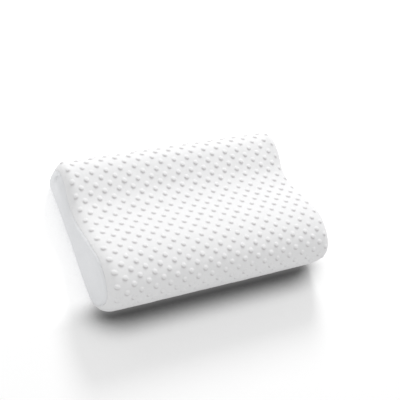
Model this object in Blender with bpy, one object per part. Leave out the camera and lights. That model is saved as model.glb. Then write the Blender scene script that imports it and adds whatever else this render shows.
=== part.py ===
"""Contour bed pillow: a waved memory-foam core in a knit liner and a zipped bubble-knit cover.

Frame, in metres: X runs along the pillow, -Y is the tall front lobe, +Y the low back lobe with
the zip, Z is up, and the origin is the centre of the base. Every layer of the pillow is the same
waved outline, inset by how deep the layer lies, so the layers nest like the real ones.
"""

import math

import bmesh
import bpy
from mathutils import Vector

# The filled cover, outside
LENGTH = 0.508
WIDTH = 0.306
FRONT_HEIGHT = 0.113
VALLEY_HEIGHT = 0.070
BACK_HEIGHT = 0.079
FRONT_CREST_Y = -0.090
VALLEY_Y = 0.053
BACK_CREST_Y = 0.117
FRONT_WIDEST_Z = 0.069
FRONT_FOOT = 0.036
BACK_FOOT = 0.014
BACK_FLAT_LOW = 0.018
BACK_FLAT_HIGH = 0.046
BOTTOM_SEAM_Y = -0.107

# The rounded ends: a quarter ellipse as far as the end seam, then a panel that crowns to a flat
END_RADIUS = 0.029
END_DROP = 0.046
PANEL_REACH = 0.011

# Layers, from the outside in: how deep each one's outer and inner face lies
GAP = 0.0003
COVER_THICK = 0.0014
TAPE_OUT = COVER_THICK + GAP
TAPE_IN = TAPE_OUT + 0.0005
BEAD_RADIUS = 0.0005
LINER_OUT = 0.0033
LINER_IN = 0.0037
CORE_OUT = 0.0040
BEAD_DEPTH = (COVER_THICK + LINER_OUT) / 2

# The end seams lie halfway round the ellipse
SEAM_ANGLE = math.radians(45)
SEAM_GAP_ANGLE = math.radians(0.7)
CUP_STEPS = 2
WRAP_STEPS = 3

# The zip, in the flat of the back face
ZIP_Z = (BACK_FLAT_LOW + BACK_FLAT_HIGH) / 2
SLOT_HALF_LENGTH = 0.214
SLOT_HALF_HEIGHT = 0.006
TAPE_HALF_LENGTH = 0.223
TAPE_HALF_WIDTH = 0.0115
CHAIN_GAP = 0.0006
CHAIN_HALF_WIDTH = 0.0023
CHAIN_LOW_X = -0.206
CHAIN_HIGH_X = 0.204
STOP_LENGTH = 0.0025
TOPSTITCH_OFFSET = 0.0085
THREAD_RADIUS = 0.00025

# The slider and its pull tab; the slider rests against the top stops, with the zip closed
SLIDER_LENGTH = 0.009
SLIDER_HALF_WIDTH = 0.0037
SLIDER_X = CHAIN_HIGH_X - SLIDER_LENGTH / 2
PLATE_THICK = 0.0010
FOOT_OUT = 0.0025
FOOT_IN = 0.0030
FLANGE_INNER_Z = 0.0027
BRIDGE_HALF_WIDTH = 0.0003
BRIDGE_LENGTH = 0.003
CROWN_HALF_LENGTH = 0.0032
CROWN_HEIGHT = 0.0026
CROWN_BAR = 0.0008
CROWN_HALF_WIDTH = 0.0005
PIVOT_HEIGHT = 0.00085
TAB_THICK = 0.0009
TAB_LENGTH = 0.022
TAB_HALF_WIDTH = 0.0028
TAB_ARM_HALF_WIDTH = 0.0026
EYE_LENGTH = 0.0044
EYE_HALF_WIDTH = 0.0015

# The blank care label, a flag in the right end seam at the back
LABEL_HEIGHT = 0.026
LABEL_REACH = 0.015
LABEL_THICK = 0.0004
LABEL_Z = 0.031


def clear_scene():
    for item in list(bpy.data.objects):
        bpy.data.objects.remove(item, do_unlink=True)


# ---------------------------------------------------------------- materials


def make_material(name, colour, roughness, metallic=0.0):
    material = bpy.data.materials.new(name)
    material.use_nodes = True
    shader = material.node_tree.nodes["Principled BSDF"]
    shader.inputs["Base Color"].default_value = (*colour, 1.0)
    shader.inputs["Roughness"].default_value = roughness
    shader.inputs["Metallic"].default_value = metallic
    material.diffuse_color = (*colour, 1.0)
    return material


def all_materials():
    return {
        "bubble_knit": make_material("bubble_knit", (0.90, 0.90, 0.91), 0.85),
        "plain_knit": make_material("plain_knit", (0.86, 0.87, 0.89), 0.85),
        "liner_knit": make_material("liner_knit", (0.88, 0.88, 0.86), 0.9),
        "memory_foam": make_material("memory_foam", (0.93, 0.90, 0.80), 0.95),
        "thread": make_material("thread", (0.90, 0.90, 0.90), 0.7),
        "zip_tape": make_material("zip_tape", (0.88, 0.88, 0.88), 0.85),
        "zip_coil": make_material("zip_coil", (0.90, 0.90, 0.90), 0.4),
        "zip_metal": make_material("zip_metal", (0.75, 0.75, 0.76), 0.3, 1.0),
        "label_satin": make_material("label_satin", (0.93, 0.93, 0.92), 0.5),
    }


# ---------------------------------------------------------------- the waved outline


def quarter_ellipse(centre, half_y, half_z, start_degrees, steps):
    """Points of a quarter turn, anticlockwise in the YZ plane, without the last one."""
    points = []
    for step in range(steps):
        angle = math.radians(start_degrees + 90 * step / steps)
        points.append((centre[0] + half_y * math.cos(angle), centre[1] + half_z * math.sin(angle)))
    return points


def wave(from_y, from_z, to_y, to_z, steps):
    """Points of half a cosine wave between two level crests, without the last one."""
    points = []
    for step in range(steps):
        share = step / steps
        rise = (1 - math.cos(math.pi * share)) / 2
        points.append((from_y + (to_y - from_y) * share, from_z + (to_z - from_z) * rise))
    return points


def outline_parts():
    """The cover's outline in the YZ plane as two runs of stations, from the middle of the zip.

    The first goes up the back, over both lobes and down the front to the bottom seam; the second
    goes on along the bottom and up to the zip again.
    """
    half = WIDTH / 2
    over = [(half, ZIP_Z + GAP / 2)]
    over += quarter_ellipse(
        (BACK_CREST_Y, BACK_FLAT_HIGH), half - BACK_CREST_Y, BACK_HEIGHT - BACK_FLAT_HIGH, 0, 6
    )
    over += wave(BACK_CREST_Y, BACK_HEIGHT, VALLEY_Y, VALLEY_HEIGHT, 5)
    over += wave(VALLEY_Y, VALLEY_HEIGHT, FRONT_CREST_Y, FRONT_HEIGHT, 9)
    over += quarter_ellipse(
        (FRONT_CREST_Y, FRONT_WIDEST_Z), half + FRONT_CREST_Y, FRONT_HEIGHT - FRONT_WIDEST_Z, 90, 7
    )
    over += quarter_ellipse((-half + FRONT_FOOT, FRONT_WIDEST_Z), FRONT_FOOT, FRONT_WIDEST_Z, 180, 6)
    over += [(-half + FRONT_FOOT, 0.0), (BOTTOM_SEAM_Y - GAP / 2, 0.0)]
    under = [(BOTTOM_SEAM_Y + GAP / 2, 0.0), (0.0, 0.0)]
    under += quarter_ellipse((half - BACK_FOOT, BACK_FLAT_LOW), BACK_FOOT, BACK_FLAT_LOW, 270, 4)
    under += [(half, BACK_FLAT_LOW), (half, ZIP_Z - GAP / 2)]
    return over, under


def top_height(y):
    """Height of the top above a place on the base; beyond a crest it stays at the crest's."""
    if y <= FRONT_CREST_Y:
        return FRONT_HEIGHT
    if y >= BACK_CREST_Y:
        return BACK_HEIGHT
    if y < VALLEY_Y:
        share = (y - FRONT_CREST_Y) / (VALLEY_Y - FRONT_CREST_Y)
        low, high = VALLEY_HEIGHT, FRONT_HEIGHT
    else:
        share = (BACK_CREST_Y - y) / (BACK_CREST_Y - VALLEY_Y)
        low, high = VALLEY_HEIGHT, BACK_HEIGHT
    return low + (high - low) * (1 + math.cos(math.pi * share)) / 2


def inset(station, depth):
    """The station moved inwards by depth, on the bottom, the top, the front and the back alike."""
    y, z = station
    return (
        y * (1 - depth / (WIDTH / 2)),
        depth + z * (1 - 2 * depth / top_height(y)),
    )


def end_place(depth, angle, side):
    """X and inset of a layer where its rounded end has turned by angle; side is -1 or 1."""
    x = side * (LENGTH / 2 - END_RADIUS + (END_RADIUS - depth) * math.sin(angle))
    return x, END_DROP - (END_DROP - depth) * math.cos(angle)


def wrap_places(depth, side):
    """The places of a layer's sections on one side, from the straight part out to the seam."""
    return [end_place(depth, SEAM_ANGLE * step / WRAP_STEPS, side) for step in range(WRAP_STEPS + 1)]


def cup_places(depth, side):
    """The places of an end panel's sections, from the seam to the flat of the end."""
    seam_x, seam_depth = end_place(depth, SEAM_ANGLE + SEAM_GAP_ANGLE, side)
    rise = side * (LENGTH / 2 - depth) - seam_x
    places = []
    for step in range(CUP_STEPS + 1):
        share = step / CUP_STEPS
        places.append((seam_x + rise * (1 - (1 - share) ** 2), seam_depth + PANEL_REACH * share))
    return places


# ---------------------------------------------------------------- mesh helpers


def add_ring(mesh, stations, place):
    x, depth = place
    return [mesh.verts.new((x, *inset(station, depth))) for station in stations]


def wrap_rings(mesh, stations, depth):
    """One layer's rings from the left seam to the right one."""
    places = wrap_places(depth, -1)[::-1] + wrap_places(depth, 1)
    return [add_ring(mesh, stations, place) for place in places]


def join_rings(mesh, first, second, closed):
    count = len(first)
    for index in range(count if closed else count - 1):
        after = (index + 1) % count
        mesh.faces.new((first[index], first[after], second[after], second[index]))


def finish_object(name, mesh, material):
    bmesh.ops.recalc_face_normals(mesh, faces=mesh.faces)
    data = bpy.data.meshes.new(name)
    mesh.to_mesh(data)
    mesh.free()
    data.materials.append(material)
    data.shade_smooth()
    data.set_sharp_from_angle(angle=math.radians(35))
    piece = bpy.data.objects.new(name, data)
    bpy.context.scene.collection.objects.link(piece)
    return piece


def make_sheet(name, stations, outer_depth, inner_depth, material):
    """A bent sheet of cloth that follows part of the outline between the two end seams."""
    mesh = bmesh.new()
    outer, inner = wrap_rings(mesh, stations, outer_depth), wrap_rings(mesh, stations, inner_depth)
    for rings in (outer, inner):
        for first, second in zip(rings, rings[1:]):
            join_rings(mesh, first, second, closed=False)
    for edge in (0, -1):
        join_rings(mesh, [ring[edge] for ring in outer], [ring[edge] for ring in inner], closed=False)
    for edge in (0, -1):
        join_rings(mesh, outer[edge], inner[edge], closed=False)
    return finish_object(name, mesh, material)


def make_sleeve(name, stations, outer_depth, inner_depth, material):
    """A tube of cloth round the whole outline, open at both end seams."""
    mesh = bmesh.new()
    outer, inner = wrap_rings(mesh, stations, outer_depth), wrap_rings(mesh, stations, inner_depth)
    loop = outer + inner[::-1]
    for first, second in zip(loop, loop[1:] + loop[:1]):
        join_rings(mesh, first, second, closed=True)
    return finish_object(name, mesh, material)


def make_end_cup(name, stations, outer_depth, inner_depth, side, material):
    """An end panel: the flat of one end and its part of the rounded edge, up to the seam."""
    mesh = bmesh.new()
    outer = [add_ring(mesh, stations, place) for place in cup_places(outer_depth, side)]
    inner = [add_ring(mesh, stations, place) for place in cup_places(inner_depth, side)]
    mesh.faces.new(outer[-1])
    mesh.faces.new(inner[-1])
    loop = outer[::-1] + inner
    for first, second in zip(loop, loop[1:]):
        join_rings(mesh, first, second, closed=True)
    return finish_object(name, mesh, material)


def make_box(name, low, high, material):
    mesh = bmesh.new()
    bmesh.ops.create_cube(mesh, size=1.0)
    for vert in mesh.verts:
        for axis in range(3):
            vert.co[axis] = low[axis] if vert.co[axis] < 0 else high[axis]
    return finish_object(name, mesh, material)


def make_plate(name, outline, axis, low, high, material):
    """A flat outline extruded along one axis; its points are the other two axes in X, Y, Z order."""
    mesh = bmesh.new()
    corners = []
    for first, second in outline:
        place = [first, second]
        place.insert(axis, low)
        corners.append(mesh.verts.new(place))
    face = mesh.faces.new(corners)
    moved = bmesh.ops.extrude_face_region(mesh, geom=[face])["geom"]
    shift = Vector((0, 0, 0))
    shift[axis] = high - low
    bmesh.ops.translate(mesh, vec=shift, verts=[v for v in moved if isinstance(v, bmesh.types.BMVert)])
    return finish_object(name, mesh, material)


def make_tube(name, points, radius, cyclic, material):
    """A thread or bead along points, four-sided, with closed ends."""
    curve = bpy.data.curves.new(name, "CURVE")
    curve.dimensions = "3D"
    curve.bevel_depth = radius
    curve.bevel_resolution = 0
    curve.use_fill_caps = not cyclic
    spline = curve.splines.new("POLY")
    spline.points.add(len(points) - 1)
    for target, point in zip(spline.points, points):
        target.co = (*point, 1.0)
    spline.use_cyclic_u = cyclic
    curve.materials.append(material)
    piece = bpy.data.objects.new(name, curve)
    bpy.context.scene.collection.objects.link(piece)
    return piece


def combine(piece, helper, operation):
    """Joins a helper to the piece or cuts it away, and keeps the helper out of the model."""
    helper.hide_render = True
    helper.display_type = "WIRE"
    modifier = piece.modifiers.new(helper.name, "BOOLEAN")
    modifier.operation = operation
    modifier.solver = "EXACT"
    modifier.object = helper


# ---------------------------------------------------------------- the pillow


def build_core(stations, materials):
    mesh = bmesh.new()
    left, right = (wrap_places(CORE_OUT, side)[:-1] + cup_places(CORE_OUT, side) for side in (-1, 1))
    rings = [add_ring(mesh, stations, place) for place in left[::-1] + right]
    for first, second in zip(rings, rings[1:]):
        join_rings(mesh, first, second, closed=True)
    mesh.faces.new(rings[0])
    mesh.faces.new(rings[-1])
    return finish_object("foam_core", mesh, materials["memory_foam"])


def build_liner(stations, materials):
    knit = materials["liner_knit"]
    make_sleeve("liner_sleeve", stations, LINER_OUT, LINER_IN, knit)
    make_end_cup("liner_left_end", stations, LINER_OUT, LINER_IN, -1, knit)
    make_end_cup("liner_right_end", stations, LINER_OUT, LINER_IN, 1, knit)


def build_cover(over, under, materials):
    top = make_sheet("cover_top_wrap", over, 0.0, COVER_THICK, materials["bubble_knit"])
    bottom = make_sheet("cover_bottom_panel", under, 0.0, COVER_THICK, materials["plain_knit"])
    slot = make_box(
        "zip_slot_cutter",
        (-SLOT_HALF_LENGTH, WIDTH / 2 - 0.005, ZIP_Z - SLOT_HALF_HEIGHT),
        (SLOT_HALF_LENGTH, WIDTH / 2 + 0.005, ZIP_Z + SLOT_HALF_HEIGHT),
        materials["plain_knit"],
    )
    combine(top, slot, "DIFFERENCE")
    combine(bottom, slot, "DIFFERENCE")
    ring = over + under
    knit = materials["plain_knit"]
    make_end_cup("cover_left_end_panel", ring, 0.0, COVER_THICK, -1, knit)
    make_end_cup("cover_right_end_panel", ring, 0.0, COVER_THICK, 1, knit)


def build_seams(ring, materials):
    """The overlocked seam allowances as round beads, just inside the cover."""
    thread = materials["thread"]
    middle = SEAM_ANGLE + SEAM_GAP_ANGLE / 2
    for side, word in ((-1, "left"), (1, "right")):
        x, depth = end_place(BEAD_DEPTH, middle, side)
        points = [(x, *inset(station, depth)) for station in ring]
        make_tube(f"seam_bead_{word}_end", points, BEAD_RADIUS, True, thread)
    reach = LENGTH / 2 - END_RADIUS
    points = [(-reach, BOTTOM_SEAM_Y, BEAD_DEPTH), (reach, BOTTOM_SEAM_Y, BEAD_DEPTH)]
    make_tube("seam_bead_bottom_front", points, BEAD_RADIUS, False, thread)


def build_zip(materials):
    back = WIDTH / 2
    for sign, word in ((1, "upper"), (-1, "lower")):
        tape_z = sorted((ZIP_Z + sign * CHAIN_GAP, ZIP_Z + sign * TAPE_HALF_WIDTH))
        make_box(
            f"zip_tape_{word}",
            (-TAPE_HALF_LENGTH, back - TAPE_IN, tape_z[0]),
            (TAPE_HALF_LENGTH, back - TAPE_OUT, tape_z[1]),
            materials["zip_tape"],
        )
        chain_z = sorted((ZIP_Z + sign * CHAIN_GAP, ZIP_Z + sign * CHAIN_HALF_WIDTH))
        make_box(
            f"zip_coil_{word}",
            (CHAIN_LOW_X, back - COVER_THICK, chain_z[0]),
            (CHAIN_HIGH_X, back, chain_z[1]),
            materials["zip_coil"],
        )
        make_box(
            f"zip_top_stop_{word}",
            (CHAIN_HIGH_X + GAP, back - COVER_THICK, chain_z[0]),
            (CHAIN_HIGH_X + GAP + STOP_LENGTH, back, chain_z[1]),
            materials["zip_metal"],
        )
        height = ZIP_Z + sign * TOPSTITCH_OFFSET
        out = back + GAP + THREAD_RADIUS
        make_tube(
            f"zip_topstitch_{word}",
            [(-SLOT_HALF_LENGTH, out, height), (SLOT_HALF_LENGTH, out, height)],
            THREAD_RADIUS,
            False,
            materials["thread"],
        )
    make_box(
        "zip_bottom_stop",
        (CHAIN_LOW_X - GAP - STOP_LENGTH, back - COVER_THICK, ZIP_Z - CHAIN_HALF_WIDTH),
        (CHAIN_LOW_X - GAP, back, ZIP_Z + CHAIN_HALF_WIDTH),
        materials["zip_metal"],
    )


def slider_plate(name, half_width, low_y, high_y, material):
    """A slider wing, seen from the back: wide at the nose, narrower at the tail."""
    nose, tail = SLIDER_X + SLIDER_LENGTH / 2, SLIDER_X - SLIDER_LENGTH / 2
    corner = 0.0012
    outline = [
        (tail, ZIP_Z - half_width + corner),
        (tail + corner, ZIP_Z - half_width),
        (nose - corner, ZIP_Z - half_width),
        (nose, ZIP_Z - half_width + corner),
        (nose, ZIP_Z + half_width - corner),
        (nose - corner, ZIP_Z + half_width),
        (tail + corner, ZIP_Z + half_width),
        (tail, ZIP_Z + half_width - corner),
    ]
    return make_plate(name, outline, 1, low_y, high_y, material)


def build_slider(materials):
    metal = materials["zip_metal"]
    back = WIDTH / 2
    top_low = back + GAP
    top_high = top_low + PLATE_THICK
    body = slider_plate("zip_slider_body", SLIDER_HALF_WIDTH, top_low, top_high, metal)
    foot = slider_plate("slider_foot", SLIDER_HALF_WIDTH, back - FOOT_IN, back - FOOT_OUT, metal)
    combine(body, foot, "UNION")
    overlap = 0.0002
    nose = SLIDER_X + SLIDER_LENGTH / 2 - 0.0015
    bridge = make_box(
        "slider_bridge",
        (nose - BRIDGE_LENGTH, back - FOOT_OUT - overlap, ZIP_Z - BRIDGE_HALF_WIDTH),
        (nose, top_low + overlap, ZIP_Z + BRIDGE_HALF_WIDTH),
        metal,
    )
    combine(body, bridge, "UNION")
    for sign in (-1, 1):
        sides = sorted((ZIP_Z + sign * FLANGE_INNER_Z, ZIP_Z + sign * (SLIDER_HALF_WIDTH - overlap)))
        flange = make_box(
            f"slider_flange_{'upper' if sign > 0 else 'lower'}",
            (SLIDER_X - SLIDER_LENGTH / 2 + 0.0014, back - COVER_THICK, sides[0]),
            (SLIDER_X + SLIDER_LENGTH / 2 - 0.0014, top_low + overlap, sides[1]),
            metal,
        )
        combine(body, flange, "UNION")
    base = top_high - overlap
    crest = top_high + CROWN_HEIGHT
    shoulder = CROWN_HALF_LENGTH - 0.0006
    arch = [
        (SLIDER_X - CROWN_HALF_LENGTH, base),
        (SLIDER_X - shoulder, crest),
        (SLIDER_X + shoulder, crest),
        (SLIDER_X + CROWN_HALF_LENGTH, base),
        (SLIDER_X + CROWN_HALF_LENGTH - 0.001, base),
        (SLIDER_X + shoulder - CROWN_BAR, crest - CROWN_BAR),
        (SLIDER_X - shoulder + CROWN_BAR, crest - CROWN_BAR),
        (SLIDER_X - CROWN_HALF_LENGTH + 0.001, base),
    ]
    crown = make_plate("slider_crown", arch, 2, ZIP_Z - CROWN_HALF_WIDTH, ZIP_Z + CROWN_HALF_WIDTH, metal)
    combine(body, crown, "UNION")


def build_pull_tab(materials):
    """The tab points towards -X along the chain; its eye goes round the slider's crown."""
    metal = materials["zip_metal"]
    pivot_y = WIDTH / 2 + GAP + PLATE_THICK + PIVOT_HEIGHT
    half_bar = TAB_THICK / 2
    low_y, high_y = pivot_y - half_bar, pivot_y + half_bar
    round_centre = SLIDER_X - TAB_LENGTH + TAB_HALF_WIDTH
    waist_x = SLIDER_X - EYE_LENGTH - 0.004
    outline = [(SLIDER_X + half_bar, ZIP_Z - TAB_ARM_HALF_WIDTH), (SLIDER_X + half_bar, ZIP_Z + TAB_ARM_HALF_WIDTH)]
    outline += [(SLIDER_X - EYE_LENGTH, ZIP_Z + TAB_ARM_HALF_WIDTH), (waist_x, ZIP_Z + TAB_HALF_WIDTH * 0.7)]
    steps = 8
    for step in range(steps + 1):
        angle = math.pi / 2 + math.pi * step / steps
        outline.append(
            (round_centre + TAB_HALF_WIDTH * math.cos(angle), ZIP_Z + TAB_HALF_WIDTH * math.sin(angle))
        )
    outline += [(waist_x, ZIP_Z - TAB_HALF_WIDTH * 0.7), (SLIDER_X - EYE_LENGTH, ZIP_Z - TAB_ARM_HALF_WIDTH)]
    tab = make_plate("zip_pull_tab", outline, 1, low_y, high_y, metal)
    eye = make_box(
        "tab_eye_cutter",
        (SLIDER_X - EYE_LENGTH, low_y - 0.001, ZIP_Z - EYE_HALF_WIDTH),
        (SLIDER_X - half_bar, high_y + 0.001, ZIP_Z + EYE_HALF_WIDTH),
        metal,
    )
    combine(tab, eye, "DIFFERENCE")


def build_label(materials):
    """A blank flag, sewn into the right end seam; it stands out halfway between end and back."""
    seam_x, seam_depth = end_place(0.0, SEAM_ANGLE + SEAM_GAP_ANGLE / 2, 1)
    seam = Vector((seam_x, inset((WIDTH / 2, LABEL_Z), seam_depth)[0], 0))
    along = Vector((1, 1, 0)).normalized()
    across = Vector((-along.y, along.x, 0)) * (LABEL_THICK / 2)
    near, far = seam + along * GAP, seam + along * (GAP + LABEL_REACH)
    corners = [near - across, far - across, far + across, near + across]
    outline = [(corner.x, corner.y) for corner in corners]
    low, high = LABEL_Z - LABEL_HEIGHT / 2, LABEL_Z + LABEL_HEIGHT / 2
    make_plate("care_label", outline, 2, low, high, materials["label_satin"])


def main():
    clear_scene()
    materials = all_materials()
    over, under = outline_parts()
    build_core(over + under, materials)
    build_liner(over + under, materials)
    build_cover(over, under, materials)
    build_seams(over + under, materials)
    build_zip(materials)
    build_slider(materials)
    build_pull_tab(materials)
    build_label(materials)


main()
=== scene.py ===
"""Looks of the contour bed pillow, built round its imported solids.

Frame, in metres: X runs along the pillow, -Y is the tall front lobe, +Y the low back lobe with
the zip, Z is up, and the origin is the centre of the base. Cloth is laid out on its own flat
coordinates: "along" runs with X between the two end seams, and "arc" runs round the outline from
the zip, over the back lobe and the front lobe, down the front and under to the bottom seam.
"""

import math

import bmesh
import bpy
import numpy as np
from mathutils import Matrix, Vector, geometry
from mathutils.bvhtree import BVHTree


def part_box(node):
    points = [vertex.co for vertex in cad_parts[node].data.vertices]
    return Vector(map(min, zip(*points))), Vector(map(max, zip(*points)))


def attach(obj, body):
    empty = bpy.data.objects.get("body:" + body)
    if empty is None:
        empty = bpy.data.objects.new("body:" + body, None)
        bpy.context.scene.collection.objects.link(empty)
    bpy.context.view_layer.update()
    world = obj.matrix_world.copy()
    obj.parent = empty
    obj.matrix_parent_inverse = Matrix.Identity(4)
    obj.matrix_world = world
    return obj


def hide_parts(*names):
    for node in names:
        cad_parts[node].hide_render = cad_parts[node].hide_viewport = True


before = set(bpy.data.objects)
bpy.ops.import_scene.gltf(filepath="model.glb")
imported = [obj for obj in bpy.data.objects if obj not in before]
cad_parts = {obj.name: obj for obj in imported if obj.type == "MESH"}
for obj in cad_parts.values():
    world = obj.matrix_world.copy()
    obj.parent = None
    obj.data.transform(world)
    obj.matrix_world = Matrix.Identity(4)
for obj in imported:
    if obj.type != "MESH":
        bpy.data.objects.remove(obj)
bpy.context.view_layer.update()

# ---------------- sizes, from the frame

WRAP_LOW, WRAP_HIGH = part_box("cover_top_wrap")
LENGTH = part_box("cover_right_end_panel")[1].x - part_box("cover_left_end_panel")[0].x
WIDTH = WRAP_HIGH.y - WRAP_LOW.y
BACK = WIDTH / 2
FRONT_HEIGHT = WRAP_HIGH.z
SLOT_HALF_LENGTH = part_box("zip_topstitch_upper")[1].x
ZIP_Z = (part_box("zip_tape_lower")[0].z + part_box("zip_tape_upper")[1].z) / 2

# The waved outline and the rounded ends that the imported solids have
VALLEY_HEIGHT = 0.070
BACK_HEIGHT = 0.079
FRONT_CREST_Y = -0.090
VALLEY_Y = 0.053
BACK_CREST_Y = 0.117
FRONT_WIDEST_Z = 0.069
FRONT_FOOT = 0.036
BACK_FOOT = 0.014
BACK_FLAT_LOW = 0.018
BACK_FLAT_HIGH = 0.046
BOTTOM_SEAM_Y = -0.107
END_RADIUS = 0.029
END_DROP = 0.046
SEAM_ANGLE = math.radians(45)
PANEL_REACH = 0.020
PANEL_ROUNDNESS = 2.2
SLOT_HALF_HEIGHT = 0.006
STRAIGHT_HALF = LENGTH / 2 - END_RADIUS
ENDS = ((-1, "left"), (1, "right"))

# About half way up inside the pillow
MIDDLE_Z = 0.045

# Layers: how deep each lies under the cover's outer face
COVER_THICK = 0.0012
BEAD_DEPTH = 0.00235
LINER_DEPTH = 0.0033
LINER_THICK = 0.0004
CORE_DEPTH = 0.0040

# The raised bubbles: columns every half pitch along X and rows every step round the outline
BUBBLE_HALF_PITCH = 0.0150
BUBBLE_ROW_STEP = 0.01321
BUBBLE_FIRST_X = -0.0685
BUBBLE_FIRST_ARC = 0.3330
BUBBLE_FIRST_ROW = -7
BUBBLE_RADIUS = 0.0054
BUBBLE_HEIGHT = 0.0025
BUBBLE_SHAPE = (2.2, 0.70)
BUBBLE_UNEVEN = 0.06
BUBBLE_ASTRAY = 0.00025
BUBBLE_KINDS = 80

# Painted shade at the foot of each bubble, heaviest on the side away from the key light: its colour, where
# it lies as a share of the radius, how wide it spreads, how much of it goes all the way round, and how far
# its heaviest side turns from the front towards -X
PAINTED_FOOT_SHADE = (0.70, 0.68, 0.68)
FOOT_PLACE = 0.72
FOOT_SPREAD = 0.26
FOOT_LEAST = 0.05
FOOT_TURN = math.radians(25)

# The seeds of all unevenness are counted from this one
SEED = 20

# Points along each curve of the outline
FINE = 160


# ---------------- small helpers


def smooth_step(low, high, value):
    share = np.clip((value - low) / (high - low), 0.0, 1.0)
    return share * share * (3 - 2 * share)


def steps_through(marks, step):
    """Evenly spaced values between each pair of marks, about a step apart, with the marks."""
    values = []
    for low, high in zip(marks, marks[1:]):
        count = max(1, round((high - low) / step))
        values.extend(np.linspace(low, high, count, endpoint=False))
    return np.array(values + [marks[-1]])


def ripples(points, shortest, longest, seed, waves=28):
    """A smooth, seeded unevenness of about -1 to 1 at each point, from crossing waves."""
    chance = np.random.default_rng(seed)
    total = np.zeros(points.shape[:-1])
    for _ in range(waves):
        direction = chance.normal(size=3)
        direction /= np.linalg.norm(direction)
        wave_length = shortest * (longest / shortest) ** chance.random()
        phase = chance.random() * 2 * math.pi
        total += np.cos(points @ direction * (2 * math.pi / wave_length) + phase)
    return total / math.sqrt(waves)


def bell(distance, width):
    """1 where the distance is 0, falling smoothly to almost nothing past twice the width."""
    return np.exp(-((distance / width) ** 2))


def normals_of_grid(points):
    along_rows = np.gradient(points, axis=0)
    along_columns = np.gradient(points, axis=1)
    normals = np.cross(along_columns, along_rows)
    return normals / np.maximum(np.linalg.norm(normals, axis=-1, keepdims=True), 1e-12)


# ---------------- the waved outline


def quarter_ellipse(centre, half_y, half_z, start_degrees):
    angles = np.radians(start_degrees + np.linspace(0, 90, FINE, endpoint=False))
    return np.c_[centre[0] + half_y * np.cos(angles), centre[1] + half_z * np.sin(angles)]


def wave(from_y, from_z, to_y, to_z):
    share = np.linspace(0, 1, FINE, endpoint=False)
    rise = (1 - np.cos(np.pi * share)) / 2
    return np.c_[from_y + (to_y - from_y) * share, from_z + (to_z - from_z) * rise]


def over_outline():
    """The wrap's line: from the zip up the back, over both lobes, down the front and under."""
    return np.vstack([
        [(BACK, ZIP_Z)],
        quarter_ellipse(
            (BACK_CREST_Y, BACK_FLAT_HIGH), BACK - BACK_CREST_Y, BACK_HEIGHT - BACK_FLAT_HIGH, 0
        ),
        wave(BACK_CREST_Y, BACK_HEIGHT, VALLEY_Y, VALLEY_HEIGHT),
        wave(VALLEY_Y, VALLEY_HEIGHT, FRONT_CREST_Y, FRONT_HEIGHT),
        quarter_ellipse(
            (FRONT_CREST_Y, FRONT_WIDEST_Z), BACK + FRONT_CREST_Y, FRONT_HEIGHT - FRONT_WIDEST_Z, 90
        ),
        quarter_ellipse((FRONT_FOOT - BACK, FRONT_WIDEST_Z), FRONT_FOOT, FRONT_WIDEST_Z, 180),
        [(FRONT_FOOT - BACK, 0.0), (BOTTOM_SEAM_Y, 0.0)],
    ])


def under_outline():
    """The bottom panel's line: from the bottom seam along the base and up to the zip."""
    return np.vstack([
        [(BOTTOM_SEAM_Y, 0.0)],
        quarter_ellipse((BACK - BACK_FOOT, BACK_FLAT_LOW), BACK_FOOT, BACK_FLAT_LOW, 270),
        [(BACK, BACK_FLAT_LOW), (BACK, ZIP_Z)],
    ])


class Line:
    """A line in the YZ plane, read by its length."""

    def __init__(self, points):
        self.points = points
        self.arcs = np.r_[0, np.cumsum(np.hypot(*np.diff(points, axis=0).T))]
        self.length = self.arcs[-1]

    def at(self, arc):
        return np.c_[np.interp(arc, self.arcs, self.points[:, 0]),
                     np.interp(arc, self.arcs, self.points[:, 1])]


OVER = Line(over_outline())
UNDER = Line(under_outline())
ROUND = Line(np.vstack([over_outline(), under_outline()[1:]]))
FRONT_ARC = OVER.arcs[np.argmin(OVER.points[:, 0])]


def top_height(y):
    """Height of the top above a place on the base; beyond a crest it stays at the crest's."""
    front_share = np.clip((VALLEY_Y - y) / (VALLEY_Y - FRONT_CREST_Y), 0, 1)
    back_share = np.clip((y - VALLEY_Y) / (BACK_CREST_Y - VALLEY_Y), 0, 1)
    front = (FRONT_HEIGHT - VALLEY_HEIGHT) * (1 - np.cos(np.pi * front_share)) / 2
    back = (BACK_HEIGHT - VALLEY_HEIGHT) * (1 - np.cos(np.pi * back_share)) / 2
    return VALLEY_HEIGHT + front + back


def inset(stations, drop):
    """Stations moved inwards by drop; drop may be one value or one for each column."""
    y, z = stations[:, 0][:, None], stations[:, 1][:, None]
    drop = np.atleast_1d(drop)[None, :]
    return y * (1 - drop / BACK), drop + z * (1 - 2 * drop / top_height(y))


def surface(stations, x, drop):
    """Points of the cover for every station and every place along X, as a grid."""
    y, z = inset(stations, drop)
    return np.stack([np.broadcast_to(x[None, :], y.shape), y, z], axis=-1)


# The ellipse from the straight part to an end seam, by its length along the cloth
END_ANGLES = np.linspace(0, SEAM_ANGLE, FINE)
END_X = END_RADIUS * np.sin(END_ANGLES)
END_INSET = END_DROP * (1 - np.cos(END_ANGLES))
END_ARCS = np.r_[0, np.cumsum(np.hypot(np.diff(END_X), np.diff(END_INSET)))]
HALF_ALONG = STRAIGHT_HALF + END_ARCS[-1]
SEAM_X = STRAIGHT_HALF + END_X[-1]
SEAM_INSET = END_INSET[-1]


def end_columns(along):
    """X and drop of the cloth at its flat coordinate along."""
    beyond = np.clip(np.abs(along) - STRAIGHT_HALF, 0, None)
    reach = np.minimum(np.abs(along), STRAIGHT_HALF) + np.interp(beyond, END_ARCS, END_X)
    return np.sign(along) * reach, np.interp(beyond, END_ARCS, END_INSET)


def shell(stations, along, depth=0.0):
    """Points of the cover's form at a depth under its outer face, as a grid."""
    x, drop = end_columns(along)
    return surface(stations, x * (1 - depth / (LENGTH / 2)), drop + depth)


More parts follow.
